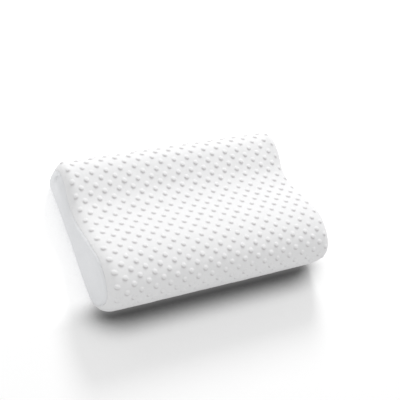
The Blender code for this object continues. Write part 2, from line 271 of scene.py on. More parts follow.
def panel_x(reach):
    """Height along X of an end panel, at a distance in from its seam."""
    share = np.clip(reach / PANEL_REACH, 0, 1)
    return SEAM_X + (LENGTH / 2 - SEAM_X) * (1 - (1 - share) ** PANEL_ROUNDNESS)


# ---------------- meshes and pieces


def linked(name, data):
    piece = bpy.data.objects.new(name, data)
    bpy.context.scene.collection.objects.link(piece)
    return piece


def new_mesh(name, points, faces, cloth):
    """A mesh; cloth, if there is any, holds each point's flat coordinates and the painted shade at the foot
    of a bubble.
    """
    data = bpy.data.meshes.new(name)
    data.from_pydata(points.tolist(), [], faces)
    if cloth is not None:
        attribute = data.attributes.new("cloth", "FLOAT_VECTOR", "POINT")
        attribute.data.foreach_set("vector", cloth.astype(np.float32).ravel())
    return data


def mesh_piece(name, points, faces, cloth):
    """A mesh object from arrays, without the points that no face uses."""
    used, index = np.unique(faces, return_inverse=True)
    data = new_mesh(name, points[used], index.reshape(faces.shape).tolist(), cloth[used])
    data.shade_smooth()
    return linked(name, data)


def solid_piece(name, points, faces, cloth=None):
    """A mesh object from points and faces of any size, with its faces turned outwards."""
    data = new_mesh(name, points, faces, cloth)
    build = bmesh.new()
    build.from_mesh(data)
    bmesh.ops.recalc_face_normals(build, faces=build.faces)
    build.to_mesh(data)
    build.free()
    data.shade_smooth()
    return linked(name, data)


def join_shapes(shapes):
    """One list of points and one of faces from several shapes."""
    points, faces, first = [], [], 0
    for shape_points, shape_faces in shapes:
        points.append(shape_points)
        faces.extend([[corner + first for corner in face] for face in shape_faces])
        first += len(shape_points)
    return np.vstack(points), faces


def quads_between(index):
    """Four-cornered faces between the neighbours in a grid of point numbers."""
    return np.stack([index[:-1, :-1], index[1:, :-1], index[1:, 1:], index[:-1, 1:]], axis=-1)


def numbered(rows, columns, closed_rows=False, closed_columns=False):
    """A grid of point numbers, with its first row or column again at the end where it closes."""
    index = np.arange(rows * columns).reshape(rows, columns)
    if closed_rows:
        index = np.vstack([index, index[:1]])
    if closed_columns:
        index = np.hstack([index, index[:, :1]])
    return index


def grid_faces(rows, columns, keep=None):
    quads = quads_between(numbered(rows, columns))
    return quads.reshape(-1, 4) if keep is None else quads[keep]


def face_outwards(piece):
    """Turns an open sheet so that its faces look away from the middle of the pillow."""
    data = piece.data
    centre = Vector((0, 0, MIDDLE_Z))
    total = sum((polygon.center - centre).dot(polygon.normal) * polygon.area for polygon in data.polygons)
    if total < 0:
        data.flip_normals()


def apply_modifiers(piece):
    graph = bpy.context.evaluated_depsgraph_get()
    data = bpy.data.meshes.new_from_object(piece.evaluated_get(graph))
    piece.modifiers.clear()
    old = piece.data
    piece.data = data
    bpy.data.meshes.remove(old)
    return piece


def thicken(piece, thickness):
    """Gives an open sheet its thickness, inwards, and bakes it."""
    face_outwards(piece)
    solid = piece.modifiers.new("Thickness", "SOLIDIFY")
    solid.thickness = thickness
    solid.offset = -1
    return apply_modifiers(piece)


def dress(piece, material, body, slot, *nodes):
    """Finishes a piece: its material, the body it rides on and the CAD nodes it stands for."""
    piece.data.materials.clear()
    piece.data.materials.append(material)
    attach(piece, body)
    if nodes:
        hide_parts(*nodes)
    return piece


# ---------------- filling the cover

# The simulated copy: its size of voxel and its inner face, what holds it, and how hard it is pressed
VOXEL = 0.007
START_SHRINK = 0.0004
BASE_ZONE = 0.004
ZIP_ZONE = 0.016
HELD_REACH = 0.012
FOAM_HOLD = 0.5
FOAM_STIFFNESS = 0.05
PRESSURE = 20.0
COPY_MASS = 0.25
SPRINGS = 5
BENDING = 2.0
FRAMES = 20
MOST_SWELL = 0.0042

# How far the filled corners stand out, how much of that the low back keeps and the middle of an
# end panel loses, and where along X and Z it begins and is whole
END_BULGE = 0.0045
BULGE_LEAST = 0.1
BULGE_LOST_ON_PANEL = 0.75
BACK_CORNER_LIFT = 0.0060
BACK_CORNER_PUSH = 0.4
RIM_ZONE = (0.216, 0.244)
PANEL_ZONE = (0.247, 0.254)
BACK_CORNER_ZONE = (0.044, 0.064)

ALONG_MARKS = [-HALF_ALONG, -STRAIGHT_HALF, STRAIGHT_HALF, HALF_ALONG]
CAP_RINGS = 5
COPY_STEPS = (0.005, 0.006)


def closed_body(name, depth, station_step, along_step):
    """The pillow's closed form at a depth, as an object of rings with capped ends."""
    stations = ROUND.at(steps_through([0, ROUND.length], station_step)[:-1])
    rings = shell(stations, steps_through(ALONG_MARKS, along_step), depth)
    reach = steps_through([0, PANEL_REACH], PANEL_REACH / CAP_RINGS)[1:]
    left, right = (surface(stations, side * (panel_x(reach) - depth), SEAM_INSET + depth + reach)
                   for side in (-1, 1))
    points = np.concatenate([left[:, ::-1], rings, right], axis=1)
    index = numbered(*points.shape[:2], closed_rows=True)
    faces = quads_between(index).reshape(-1, 4).tolist()
    faces += [index[:-1, 0].tolist(), index[:-1, -1].tolist()]
    return solid_piece(name, points.reshape(-1, 3), faces)


def mesh_points(piece_data):
    points = np.empty(len(piece_data.vertices) * 3)
    piece_data.vertices.foreach_get("co", points)
    return points.reshape(-1, 3)


def simulate_filling():
    """Presses the cover out with cloth simulation, and returns (points, triangles, shifts)."""
    body = closed_body("filling", 0.0, *COPY_STEPS)
    remesh = body.modifiers.new("Remesh", "REMESH")
    remesh.mode = "VOXEL"
    remesh.voxel_size = VOXEL
    apply_modifiers(body)
    rest = mesh_points(body.data)
    normals = np.array([vertex.normal for vertex in body.data.vertices])
    on_base = rest[:, 2] < BASE_ZONE
    on_zip = (rest[:, 1] > BACK - BASE_ZONE) & (np.abs(rest[:, 2] - ZIP_Z) < ZIP_ZONE)
    held = (on_base | on_zip) & (np.abs(rest[:, 0]) < STRAIGHT_HALF + HELD_REACH)
    start = rest - normals * (START_SHRINK * ~held)[:, None]
    body.data.vertices.foreach_set("co", start.ravel())
    group = body.vertex_groups.new(name="held")
    group.add(np.nonzero(held)[0].tolist(), 1.0, "REPLACE")
    group.add(np.nonzero(~held)[0].tolist(), FOAM_HOLD, "REPLACE")
    cloth = body.modifiers.new("Cloth", "CLOTH")
    settings = cloth.settings
    settings.vertex_group_mass = "held"
    settings.use_pressure = True
    settings.uniform_pressure_force = PRESSURE
    settings.effector_weights.gravity = 0.0
    settings.mass = COPY_MASS
    settings.pin_stiffness = FOAM_STIFFNESS
    settings.tension_stiffness = settings.compression_stiffness = settings.shear_stiffness = SPRINGS
    settings.bending_stiffness = BENDING
    cloth.point_cache.frame_end = FRAMES
    scene = bpy.context.scene
    for number in range(1, FRAMES + 1):
        scene.frame_set(number)
    graph = bpy.context.evaluated_depsgraph_get()
    evaluated = body.evaluated_get(graph)
    swollen = mesh_points(evaluated.to_mesh())
    evaluated.to_mesh_clear()
    shifts = swollen - rest
    lengths = np.linalg.norm(shifts, axis=1, keepdims=True)
    shifts *= MOST_SWELL * np.tanh(lengths / MOST_SWELL) / np.maximum(lengths, 1e-9)
    print("filling: mean %.2f mm, most %.2f mm" % (lengths.mean() * 1000, lengths.max() * 1000))
    body.data.calc_loop_triangles()
    triangles = np.array([triangle.vertices[:] for triangle in body.data.loop_triangles])
    scene.frame_set(1)
    bpy.data.objects.remove(body, do_unlink=True)
    return rest, triangles, shifts


def end_bulge(points):
    """How the filled corners stand out along X round each end, most at the front lobe."""
    x, y, z = points[..., 0], points[..., 1], points[..., 2]
    at_rim = smooth_step(*RIM_ZONE, np.abs(x))
    on_panel = smooth_step(*PANEL_ZONE, np.abs(x))
    at_front = BULGE_LEAST + (1 - BULGE_LEAST) * smooth_step(VALLEY_Y, FRONT_CREST_Y, y)
    at_front = at_front * (1 - BULGE_LOST_ON_PANEL * on_panel)
    at_back = smooth_step(VALLEY_Y, BACK_CREST_Y, y) * smooth_step(*BACK_CORNER_ZONE, z)
    shift = np.zeros_like(points)
    shift[..., 0] = np.sign(x) * END_BULGE * at_rim * (at_front + at_back * on_panel)
    shift[..., 1] = BACK_CORNER_PUSH * BACK_CORNER_LIFT * at_rim * at_back
    shift[..., 2] = BACK_CORNER_LIFT * at_rim * at_back
    return shift


class Filling:
    """How the filled cover lies off its plain form, for any point near its surface."""

    def __init__(self):
        self.tree = None
        self.rest, self.triangles, self.shifts = simulate_filling()
        self.tree = BVHTree.FromPolygons(self.rest.tolist(), self.triangles.tolist())

    def shift(self, points):
        """The shift of each point of an array whose last axis is X, Y, Z."""
        if self.tree is None:
            return end_bulge(points)
        flat = points.reshape(-1, 3)
        found = [self.tree.find_nearest(point) for point in flat.tolist()]
        corners = self.triangles[[hit[2] for hit in found]]
        near = np.array([hit[0] for hit in found])
        a, b, c = (self.rest[corners[:, corner]] for corner in range(3))
        normal = np.cross(b - a, c - a)
        whole = np.maximum((normal * normal).sum(1), 1e-18)
        weight_a = (np.cross(c - b, near - b) * normal).sum(1) / whole
        weight_b = (np.cross(a - c, near - c) * normal).sum(1) / whole
        weights = np.stack([weight_a, weight_b, 1 - weight_a - weight_b], axis=1)
        moved = (self.shifts[corners] * weights[:, :, None]).sum(1) + end_bulge(near)
        return moved.reshape(points.shape)


def blur(grid, rounds):
    """Evens out a grid of vectors, keeping its edges."""
    for _ in range(rounds):
        for axis in (0, 1):
            grid = np.moveaxis(grid, axis, 0)
            inner = (grid[:-2] + 2 * grid[1:-1] + grid[2:]) / 4
            grid = np.concatenate([grid[:1], inner, grid[-1:]])
            grid = np.moveaxis(grid, 0, axis)
    return grid


# ---------------- the cover


CLOTH_STEP = 0.0012
BOTTOM_STEP = 0.0025
SLOT_MARKS = [-HALF_ALONG, -SLOT_HALF_LENGTH, SLOT_HALF_LENGTH, HALF_ALONG]

# Where the bubbles end: beside the end seams, beyond the zip's hem, towards the base and at the
# bottom seam, each as a width or as where they begin and where they are whole
LEFT_MARGIN = 0.0085
RIGHT_MARGIN = 0.0150
MARGIN_FADE = 0.0065
ZIP_FADE = (0.012, 0.024)
BASE_FADE = (-0.022, 0.013)
BASE_LEAST = 0.08
BOTTOM_FADE = (0.004, 0.010)

# Seams, the crease beside an end seam, the hem's stitches, and how uneven stretched cloth lies
SEAM_DEPTH = 0.00035
SEAM_WIDTH = 0.0019
PUCKER_DEPTH = 0.00007
PUCKER_WIDTH = 0.005
PUCKER_WAVES = (0.006, 0.016)
CREASE_PLACE = 0.0062
CREASE_DEPTH = 0.00012
CREASE_WIDTH = 0.0012
HEM_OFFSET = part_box("zip_topstitch_upper")[0].z - ZIP_Z
STITCH_PITCH = 0.0030
STITCH_DEPTH = 0.0004
STITCH_WIDTH = 0.0011
WRAP_UNEVEN = 0.00028
BOTTOM_UNEVEN = 0.00025
LOWEST_Z = 0.0001
PANEL_UNEVEN = 0.0003

# End panels: rings in from the seam, then an even lattice that keeps clear of the last ring
RING_REACHES = (0.0, 0.0007, 0.0015, 0.0025, 0.0038, 0.0055, 0.0075, 0.0100)
RING_STEP = 0.0016
RING_CLEARANCE = 0.0018
PANEL_STEP = 0.0017
PANEL_LEAN = 0.75

# The fold below the back top corner: its top, its length and slant, and its groove and two lips
FOLD_Y = 0.118
FOLD_Z = 0.060
FOLD_LENGTH = 0.016
FOLD_SLANT = 0.002
GROOVE_DEPTH = 0.0022
GROOVE_WIDTH = 0.0012
LIP_HEIGHT = 0.0016
LIP_PLACE = 0.0024
LIP_WIDTH = 0.0013


def bubbles(along, arc):
    """Full and flattened height of the raised bubbles, and how much painted shade lies round the foot of
    each.

    arc is measured from the front extreme, and grows towards the back.
    """
    chance = np.random.default_rng(SEED)
    size = chance.normal(1.0, BUBBLE_UNEVEN, (BUBBLE_KINDS, BUBBLE_KINDS))
    shift_x = chance.normal(0.0, BUBBLE_ASTRAY, (BUBBLE_KINDS, BUBBLE_KINDS))
    shift_arc = chance.normal(0.0, BUBBLE_ASTRAY, (BUBBLE_KINDS, BUBBLE_KINDS))
    height, flattened, foot = np.zeros((3, *np.broadcast(along, arc).shape))
    for odd in (0, 1):
        column = 2 * np.round(((along - BUBBLE_FIRST_X) / BUBBLE_HALF_PITCH - odd) / 2) + odd
        row_place = BUBBLE_FIRST_ROW + (BUBBLE_FIRST_ARC - arc) / BUBBLE_ROW_STEP
        row = 2 * np.round((row_place - odd) / 2) + odd
        key = (column.astype(int) % BUBBLE_KINDS, row.astype(int) % BUBBLE_KINDS)
        off_x = along - BUBBLE_FIRST_X - column * BUBBLE_HALF_PITCH - shift_x[key]
        off_arc = (row_place - row) * BUBBLE_ROW_STEP - shift_arc[key]
        radius = BUBBLE_RADIUS * np.sqrt(size[key])
        out = np.sqrt(off_x**2 + off_arc**2) / radius
        height += BUBBLE_HEIGHT * size[key] * np.clip(1 - out ** BUBBLE_SHAPE[0], 0, None) ** BUBBLE_SHAPE[1]
        flattened += BUBBLE_HEIGHT * size[key] * np.clip(1 - out**2, 0, None) ** 2
        # painted shade round each bubble's foot, heaviest on the side away from the key light
        away_from_key = (off_arc * math.cos(FOOT_TURN) - off_x * math.sin(FOOT_TURN)) / radius
        side = FOOT_LEAST + (1 - FOOT_LEAST) * smooth_step(-0.1, 0.9, away_from_key)
        foot += side * bell(out - FOOT_PLACE, FOOT_SPREAD)
    return height, flattened, foot


def seam_dip(distance, place):
    """How far cloth dips beside a seam, with small uneven puckers along it."""
    chance = np.random.default_rng(SEED + 1)
    pucker = np.zeros(np.shape(place))
    for _ in range(10):
        wave_length = chance.uniform(*PUCKER_WAVES)
        pucker += np.cos(place * (2 * math.pi / wave_length) + chance.random() * 2 * math.pi)
    return SEAM_DEPTH * bell(distance, SEAM_WIDTH) + PUCKER_DEPTH * pucker * np.exp(-distance / PUCKER_WIDTH)


def stitch_dip(distance, place):
    """A row of stitches pulls the hem in beside the zip."""
    stitch = 0.75 + 0.25 * np.cos(place * (2 * math.pi / STITCH_PITCH))
    return STITCH_DEPTH * stitch * bell(distance, STITCH_WIDTH) * (np.abs(place) < SLOT_HALF_LENGTH)


def crease(to_seam, points):
    """A faint uneven line beside an end seam, where the seam allowance ends under the cloth."""
    strength = (1 + ripples(points, 0.03, 0.09, SEED + 2)) / 2
    return CREASE_DEPTH * bell(to_seam - CREASE_PLACE, CREASE_WIDTH) * strength


def outside_slot(flat_x, from_zip):
    """Which faces of a grid, whose columns follow X, lie outside the zip's slot."""
    middle_x = np.abs(flat_x[1:, 1:] + flat_x[:-1, :-1]) / 2
    farthest = np.maximum(from_zip[1:, 1:], from_zip[:-1, :-1])
    return (farthest > SLOT_HALF_HEIGHT + 1e-6) | (middle_x >= SLOT_HALF_LENGTH)


def build_wrap(filling, materials):
    """The bubble-knit wrap, with its slot for the zip."""
    arcs = steps_through([0, SLOT_HALF_HEIGHT, OVER.length], CLOTH_STEP)
    along = steps_through(SLOT_MARKS, CLOTH_STEP)
    points = shell(OVER.at(arcs), along)
    normals = -normals_of_grid(points)
    flat_x, flat_arc = np.meshgrid(along, arcs)
    from_front = FRONT_ARC - flat_arc
    to_seam = HALF_ALONG - np.abs(flat_x)
    to_bottom = OVER.length - flat_arc
    margin = np.where(flat_x < 0, LEFT_MARGIN, RIGHT_MARGIN)
    fade = smooth_step(0.0, MARGIN_FADE, to_seam - margin) * smooth_step(*ZIP_FADE, flat_arc)
    fade = fade * (BASE_LEAST + (1 - BASE_LEAST) * smooth_step(*BASE_FADE, from_front))
    fade = fade * smooth_step(*BOTTOM_FADE, to_bottom)
    full, flattened, foot = bubbles(flat_x, from_front)
    height = fade * (fade * full + (1 - fade) * flattened)
    height -= seam_dip(to_seam, flat_arc) + seam_dip(to_bottom, flat_x)
    height -= crease(to_seam, points) + stitch_dip(flat_arc - HEM_OFFSET, flat_x)
    height += WRAP_UNEVEN * ripples(points, 0.025, 0.10, SEED + 3) * smooth_step(0.0, 0.02, flat_arc)
    points = points + blur(filling.shift(points), 3) + normals * height[:, :, None]
    # the third value is the painted shade round the bubbles' feet
    cloth = np.stack([flat_x, flat_arc, foot * fade**2], axis=-1)
    faces = grid_faces(*flat_x.shape, outside_slot(flat_x, flat_arc))
    wrap = mesh_piece("bubble_knit_wrap", points.reshape(-1, 3), faces, cloth.reshape(-1, 3))
    thicken(wrap, COVER_THICK)
    dress(wrap, materials["bubble_knit"], "pillow", "bubble_knit", "cover_top_wrap")


def build_bottom(filling, materials):
    """The smooth underside, from the bottom seam to the zip's lower hem."""
    arcs = steps_through([0, UNDER.length - SLOT_HALF_HEIGHT, UNDER.length], BOTTOM_STEP)
    along = steps_through(SLOT_MARKS, BOTTOM_STEP)
    points = shell(UNDER.at(arcs), along)
    normals = -normals_of_grid(points)
    flat_x, flat_arc = np.meshgrid(along, arcs)
    to_seam = HALF_ALONG - np.abs(flat_x)
    to_zip = UNDER.length - flat_arc
    height = -seam_dip(to_seam, flat_arc) - seam_dip(flat_arc, flat_x)
    height -= stitch_dip(to_zip - HEM_OFFSET, flat_x)
    lift = BOTTOM_UNEVEN * (1 - ripples(points, 0.03, 0.12, SEED + 4)) * smooth_step(0.0, 0.03, to_zip)
    points = points + filling.shift(points) + normals * (height - np.clip(lift, 0, None))[:, :, None]
    points[:, :, 2] = np.maximum(points[:, :, 2], LOWEST_Z)
    cloth = np.stack([flat_x, flat_arc, np.zeros_like(flat_x)], axis=-1)
    faces = grid_faces(*flat_x.shape, outside_slot(flat_x, to_zip))
    bottom = mesh_piece("smooth_bottom", points.reshape(-1, 3), faces, cloth.reshape(-1, 3))
    thicken(bottom, COVER_THICK)
    dress(bottom, materials["plain_knit"], "pillow", "plain_knit", "cover_bottom_panel")


def in_outline(points, outline):
    """Whether each point of the YZ plane lies inside a closed outline."""
    inside = np.zeros(len(points), bool)
    y, z = points[:, 0], points[:, 1]
    for (y0, z0), (y1, z1) in zip(outline, np.roll(outline, -1, axis=0)):
        crosses = (z0 > z) != (z1 > z)
        if z0 == z1:
            continue
        inside ^= crosses & (y < (y1 - y0) * (z - z0) / (z1 - z0) + y0)
    return inside


def panel_points(side, depth=0.0, ring_step=RING_STEP, step=PANEL_STEP):
    """Points and faces of one end panel, as rings and a filled middle, then each point's distance
    in from the seam and its arc along the seam."""
    arcs = steps_through([0, ROUND.length], ring_step)[:-1]
    stations = ROUND.at(arcs)
    reaches = np.array(RING_REACHES)
    rings = surface(stations, side * (panel_x(reaches) - depth), SEAM_INSET + reaches + depth)
    count, layers = rings.shape[:2]
    index = numbered(count, layers, closed_rows=True)
    rim = rings[:, -1, 1:]
    low, high = rim.min(0), rim.max(0)
    rows = np.arange(low[1], high[1], step * 0.87)
    lattice = np.array([(y + (row % 2) * step / 2, z) for row, z in enumerate(rows)
                        for y in np.arange(low[0], high[0], step)])
    lattice = lattice[in_outline(lattice, rim)]
    to_rim = np.sqrt(((lattice[:, None] - rim[None]) ** 2).sum(2)).min(1)
    lattice, to_rim = lattice[to_rim > RING_CLEARANCE], to_rim[to_rim > RING_CLEARANCE]
    flat_points = [Vector(point) for point in np.vstack([rim, lattice]).tolist()]
    edges = [(place, (place + 1) % count) for place in range(count)]
    filled = geometry.delaunay_2d_cdt(flat_points, edges, [], 1, 1e-6)[2]
    middle_x = side * (panel_x(RING_REACHES[-1] + to_rim) - depth)
    points = np.vstack([rings.reshape(-1, 3), np.c_[middle_x, lattice]])
    place_of = np.r_[index[:-1, -1], count * layers + np.arange(len(lattice))]
    triangles = [[place_of[corner] for corner in face] for face in filled]
    reach = np.r_[np.tile(reaches, count), RING_REACHES[-1] + to_rim]
    arc = np.r_[np.repeat(arcs, layers), np.zeros(len(lattice))]
    return points, quads_between(index).reshape(-1, 4).tolist() + triangles, reach, arc


def corner_fold(points):
    """A short fold of spare cloth just inside the panel, below the back top corner."""
    along = (FOLD_Z - points[:, 2]) / FOLD_LENGTH
    off = points[:, 1] - FOLD_Y + FOLD_SLANT * along
    groove = bell(off, GROOVE_WIDTH) * smooth_step(-0.05, 0.12, along) * (1 - smooth_step(0.45, 1.0, along))
    lips = bell(np.abs(off) - LIP_PLACE, LIP_WIDTH) * smooth_step(-0.45, 0.0, along)
    return LIP_HEIGHT * lips * (1 - smooth_step(0.15, 0.8, along)) - GROOVE_DEPTH * groove


def build_panel(side, word, filling, materials):
    """A smooth end panel, crowned between its seams."""
    points, faces, reach, arc = panel_points(side)
    outward = points[:, 1:] - (0.0, MIDDLE_Z)
    outward /= np.maximum(np.linalg.norm(outward, axis=1, keepdims=True), 1e-6)
    lean = PANEL_LEAN * (1 - np.clip(reach / PANEL_REACH, 0, 1))
    normals = np.c_[np.full(len(points), side), outward * lean[:, None]]
    normals /= np.linalg.norm(normals, axis=1, keepdims=True)
    height = -seam_dip(reach, arc) + corner_fold(points)
    height += PANEL_UNEVEN * ripples(points, 0.03, 0.11, SEED + 5 + side) * smooth_step(0.0, 0.01, reach)
    moved = points + filling.shift(points) + normals * height[:, None]
    cloth = np.c_[points[:, 1:], np.zeros(len(points))]
    panel = solid_piece(f"smooth_{word}_end", moved, faces, cloth)
    thicken(panel, COVER_THICK)
    dress(panel, materials["plain_knit"], "pillow", "plain_knit", f"cover_{word}_end_panel")


# ---------------- thread, zip and label

BEAD_RADIUS = 0.0005
BEAD_RIDGE = 0.0016
BEAD_RIDGE_HEIGHT = 0.16
BEAD_STEPS = 4

TAPE_ROUNDING = 0.0002
TAPE_STEP = 0.004
STOP_ROUNDING = 0.0004
STOP_STEP = 0.0006

# The monofilament, and how far each coil reaches into the other
WIRE_RADIUS = 0.00028
WIRE_SIDES = 6
COIL_PITCH = 0.0012
COIL_STEPS = 10
COIL_MESH = 0.00025

# Each stitch: the gap at its two ends, how deep they sink, how askew it lies, and its thickness
# at shares of its length
STITCH_GAP = 0.0003
STITCH_SINK = 0.0003
STITCH_ASKEW = 0.00004
STITCH_SHARES = np.array([0.0, 0.12, 0.35, 0.65, 0.88, 1.0])
STITCH_SWELL = np.array([0.45, 0.9, 1.05, 1.05, 0.9, 0.45])
THREAD_SIDES = 8

SLIDER_BEVEL = 0.00018
TAB_BEVEL = 0.00016

LABEL_GAP = 0.0008
LABEL_REACH = 0.015
LABEL_CURL = 0.0006
LABEL_THICK = 0.0003
LABEL_GRID = (16, 27)


def tube(path, sideways, radius, sides, closed=False):
    """Points and faces of a round tube along a path; sideways gives each ring's first direction."""
    if closed:
        tangent = np.roll(path, -1, axis=0) - np.roll(path, 1, axis=0)
    else:
        tangent = np.gradient(path, axis=0)
    tangent /= np.linalg.norm(tangent, axis=1, keepdims=True)
    first = sideways - tangent * (sideways * tangent).sum(1, keepdims=True)
    first /= np.linalg.norm(first, axis=1, keepdims=True)
    second = np.cross(tangent, first)
    angles = np.arange(sides)[None, :, None] * (2 * math.pi / sides)
    radius = np.broadcast_to(radius, len(path))[:, None, None]
    rings = path[:, None] + radius * (np.cos(angles) * first[:, None] + np.sin(angles) * second[:, None])
    return rings.reshape(-1, 3), ring_faces(len(path), sides, closed)


def ring_faces(count, sides, closed=False):
    """Faces between rings of points, with the two ends capped unless the rings close on themselves."""
    index = numbered(count, sides, closed_rows=closed, closed_columns=True)
    faces = quads_between(index).reshape(-1, 4).tolist()
    return faces if closed else faces + [index[0, :-1].tolist(), index[-1, :-1].tolist()]


def rounded_bar(low, high, rounding, step):
    """Points and faces of a bar along X with rounded edges and ends."""
    turns = np.radians([75, 45, 15])
    ends = rounding * (1 - np.sin(turns))
    reaches = rounding * np.cos(turns)
    middle = steps_through([low[0] + rounding, high[0] - rounding], step)
    places = np.r_[low[0] + ends, middle, (high[0] - ends)[::-1]]
    reaches = np.r_[reaches, np.full(len(middle), rounding), reaches[::-1]]
    corners = ((high[1] - rounding, high[2] - rounding), (low[1] + rounding, high[2] - rounding),
               (low[1] + rounding, low[2] + rounding), (high[1] - rounding, low[2] + rounding))
    angles = np.radians([[90 * quarter + turn for turn in (0, 30, 60, 90)] for quarter in range(4)]).ravel()
    centres = np.repeat(np.array(corners), 4, axis=0)
    across = centres + reaches[:, None, None] * np.c_[np.cos(angles), np.sin(angles)]
    x = np.broadcast_to(places[:, None, None], (*across.shape[:2], 1))
    points = np.concatenate([x, across], axis=-1)
    return points.reshape(-1, 3), ring_faces(*points.shape[:2])


def ridged(place):
    """A bead's radius along its length, with a ridge at each loop of thread."""
    return BEAD_RADIUS * (1 + BEAD_RIDGE_HEIGHT * np.cos(place * (2 * math.pi / BEAD_RIDGE)))


def build_seam_beads(filling, materials):
    """The overlocked allowances: ridged beads of thread just inside the seams."""
    arcs = steps_through([0, ROUND.length], BEAD_RIDGE / BEAD_STEPS)[:-1]
    radius = ridged(arcs)
    for side, word in ENDS:
        x = np.array([side * (SEAM_X - BEAD_DEPTH * 0.75)])
        path = surface(ROUND.at(arcs), x, SEAM_INSET + BEAD_DEPTH)[:, 0]
        path = path + filling.shift(path)
        points, faces = tube(path, np.array((1.0, 0.0, 0.0)), radius, THREAD_SIDES, closed=True)
        bead = solid_piece(f"overlock_{word}_end", points, faces)
        dress(bead, materials["thread"], "pillow", "thread", f"seam_bead_{word}_end")
    x = steps_through([-STRAIGHT_HALF, STRAIGHT_HALF], BEAD_RIDGE / BEAD_STEPS)
    path = np.c_[x, np.full(len(x), BOTTOM_SEAM_Y), np.full(len(x), BEAD_DEPTH)]
    points, faces = tube(path, np.array((0.0, 1.0, 0.0)), ridged(x), THREAD_SIDES)
    bead = solid_piece("overlock_bottom_front", points, faces)
    dress(bead, materials["thread"], "pillow", "thread", "seam_bead_bottom_front")


def coil_shape(low, high, sign, start):
    """One wound monofilament of the zip, as a flat helix along X."""
    turns = (high[0] - low[0] - 2 * WIRE_RADIUS) / COIL_PITCH
    angles = np.arange(0, turns * 2 * math.pi, 2 * math.pi / COIL_STEPS) + start
    x = low[0] + WIRE_RADIUS + (angles - start) * COIL_PITCH / (2 * math.pi)
    middle = (np.array(low) + np.array(high)) / 2
    half = (np.array(high) - np.array(low)) / 2 - WIRE_RADIUS
    circle = np.c_[np.zeros(len(x)), np.cos(angles), sign * np.sin(angles)]
    path = np.c_[x, middle[1] + half[1] * circle[:, 1], middle[2] + half[2] * circle[:, 2]]
    return tube(path, circle, WIRE_RADIUS, WIRE_SIDES)


def build_zip(materials):
    """Tapes, wound coils, stops and the rows of stitches beside them."""
    for sign, start, word in ((1, 0, "upper"), (-1, math.pi, "lower")):
        bar = rounded_bar(*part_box(f"zip_tape_{word}"), TAPE_ROUNDING, TAPE_STEP)
        tape = solid_piece(f"woven_tape_{word}", *bar)
        dress(tape, materials["zip_tape"], "pillow", "zip_tape", f"zip_tape_{word}")
        low, high = (list(corner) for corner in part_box(f"zip_coil_{word}"))
        inner = low if sign > 0 else high
        inner[2] -= sign * COIL_MESH
        coil = solid_piece(f"wound_coil_{word}", *coil_shape(low, high, sign, start))
        dress(coil, materials["zip_coil"], "pillow", "zip_coil", f"zip_coil_{word}")
        build_stop(f"zip_top_stop_{word}", f"crimped_stop_{word}", materials)
        build_topstitch(word, materials)
    build_stop("zip_bottom_stop", "crimped_bottom_stop", materials)


def build_stop(node, name, materials):
    """A small crimped stop at an end of the coils."""
    stop = solid_piece(name, *rounded_bar(*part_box(node), STOP_ROUNDING, STOP_STEP))
    dress(stop, materials["zip_metal"], "pillow", "zip_metal", node)


def build_topstitch(word, materials):
    """A row of separate stitches, each one sunk into the cloth at its ends."""
    low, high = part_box(f"zip_topstitch_{word}")
    chance = np.random.default_rng(SEED + 5)
    radius = (high.z - low.z) / 2
    from_middle = 2 * STITCH_SHARES - 1
    shapes = []
    for start in np.arange(low.x, high.x - STITCH_PITCH / 2, STITCH_PITCH):
        x = start + STITCH_GAP + STITCH_SHARES * (STITCH_PITCH - 2 * STITCH_GAP)
        y = low.y + radius - STITCH_SINK * from_middle**4
        z = (low.z + high.z) / 2 + chance.normal(0.0, STITCH_ASKEW) * from_middle
        upwards = np.array((0.0, 0.0, 1.0))
        shapes.append(tube(np.c_[x, y, z], upwards, radius * STITCH_SWELL, THREAD_SIDES))
    stitches = solid_piece(f"stitches_{word}", *join_shapes(shapes))
    dress(stitches, materials["thread"], "pillow", "thread", f"zip_topstitch_{word}")


def bevelled_copy(node, name, width, body, materials):
    """A node's metal shape with softened edges."""
    build = bmesh.new()
    build.from_mesh(bpy.data.objects[node].data)
    bmesh.ops.remove_doubles(build, verts=build.verts, dist=0.00001)
    bmesh.ops.dissolve_limit(build, angle_limit=math.radians(1), verts=build.verts, edges=build.edges)
    data = bpy.data.meshes.new(name)
    build.to_mesh(data)
    build.free()
    piece = linked(name, data)
    bevel = piece.modifiers.new("Bevel", "BEVEL")
    bevel.width = width
    bevel.segments = 3
    bevel.limit_method = "ANGLE"
    apply_modifiers(piece)
    dress(piece, materials["zip_metal"], body, "zip_metal", node)


def build_label(materials):
    """The blank satin label: a flag with a slight curl, sewn in at the right back seam."""
    low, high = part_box("care_label")
    seam = np.array([SEAM_X, BACK - SEAM_INSET])
    direction = np.array([1.0, 1.0]) / math.sqrt(2)
    across = np.array([-1.0, 1.0]) / math.sqrt(2)
    up, out = np.meshgrid(np.linspace(-1, 1, LABEL_GRID[1]), np.linspace(0, 1, LABEL_GRID[0]))
    reach = LABEL_GAP + LABEL_REACH * out
    bend = LABEL_CURL * out**2 * (0.7 + 0.3 * up)
    flat = seam + direction * reach[..., None] + across * bend[..., None]
    height = (low.z + high.z) / 2 + (high.z - low.z) / 2 * up
    points = np.concatenate([flat, height[..., None]], axis=-1)
    cloth = np.stack([reach, height, np.zeros_like(reach)], axis=-1)
    faces = grid_faces(*points.shape[:2])
    label = mesh_piece("satin_label", points.reshape(-1, 3), faces, cloth.reshape(-1, 3))
    solid = label.modifiers.new("Thickness", "SOLIDIFY")
    solid.thickness = LABEL_THICK
    solid.offset = 0
    apply_modifiers(label)
    dress(label, materials["label_satin"], "label", "label_satin", "care_label")


# ---------------- inside the cover

CORE_STEPS = (0.004, 0.006)
SKIN_UNEVEN = 0.00015
LINER_RING_STEP = 0.004
LINER_ALONG_STEP = 0.005
LINER_PANEL_STEP = 0.006


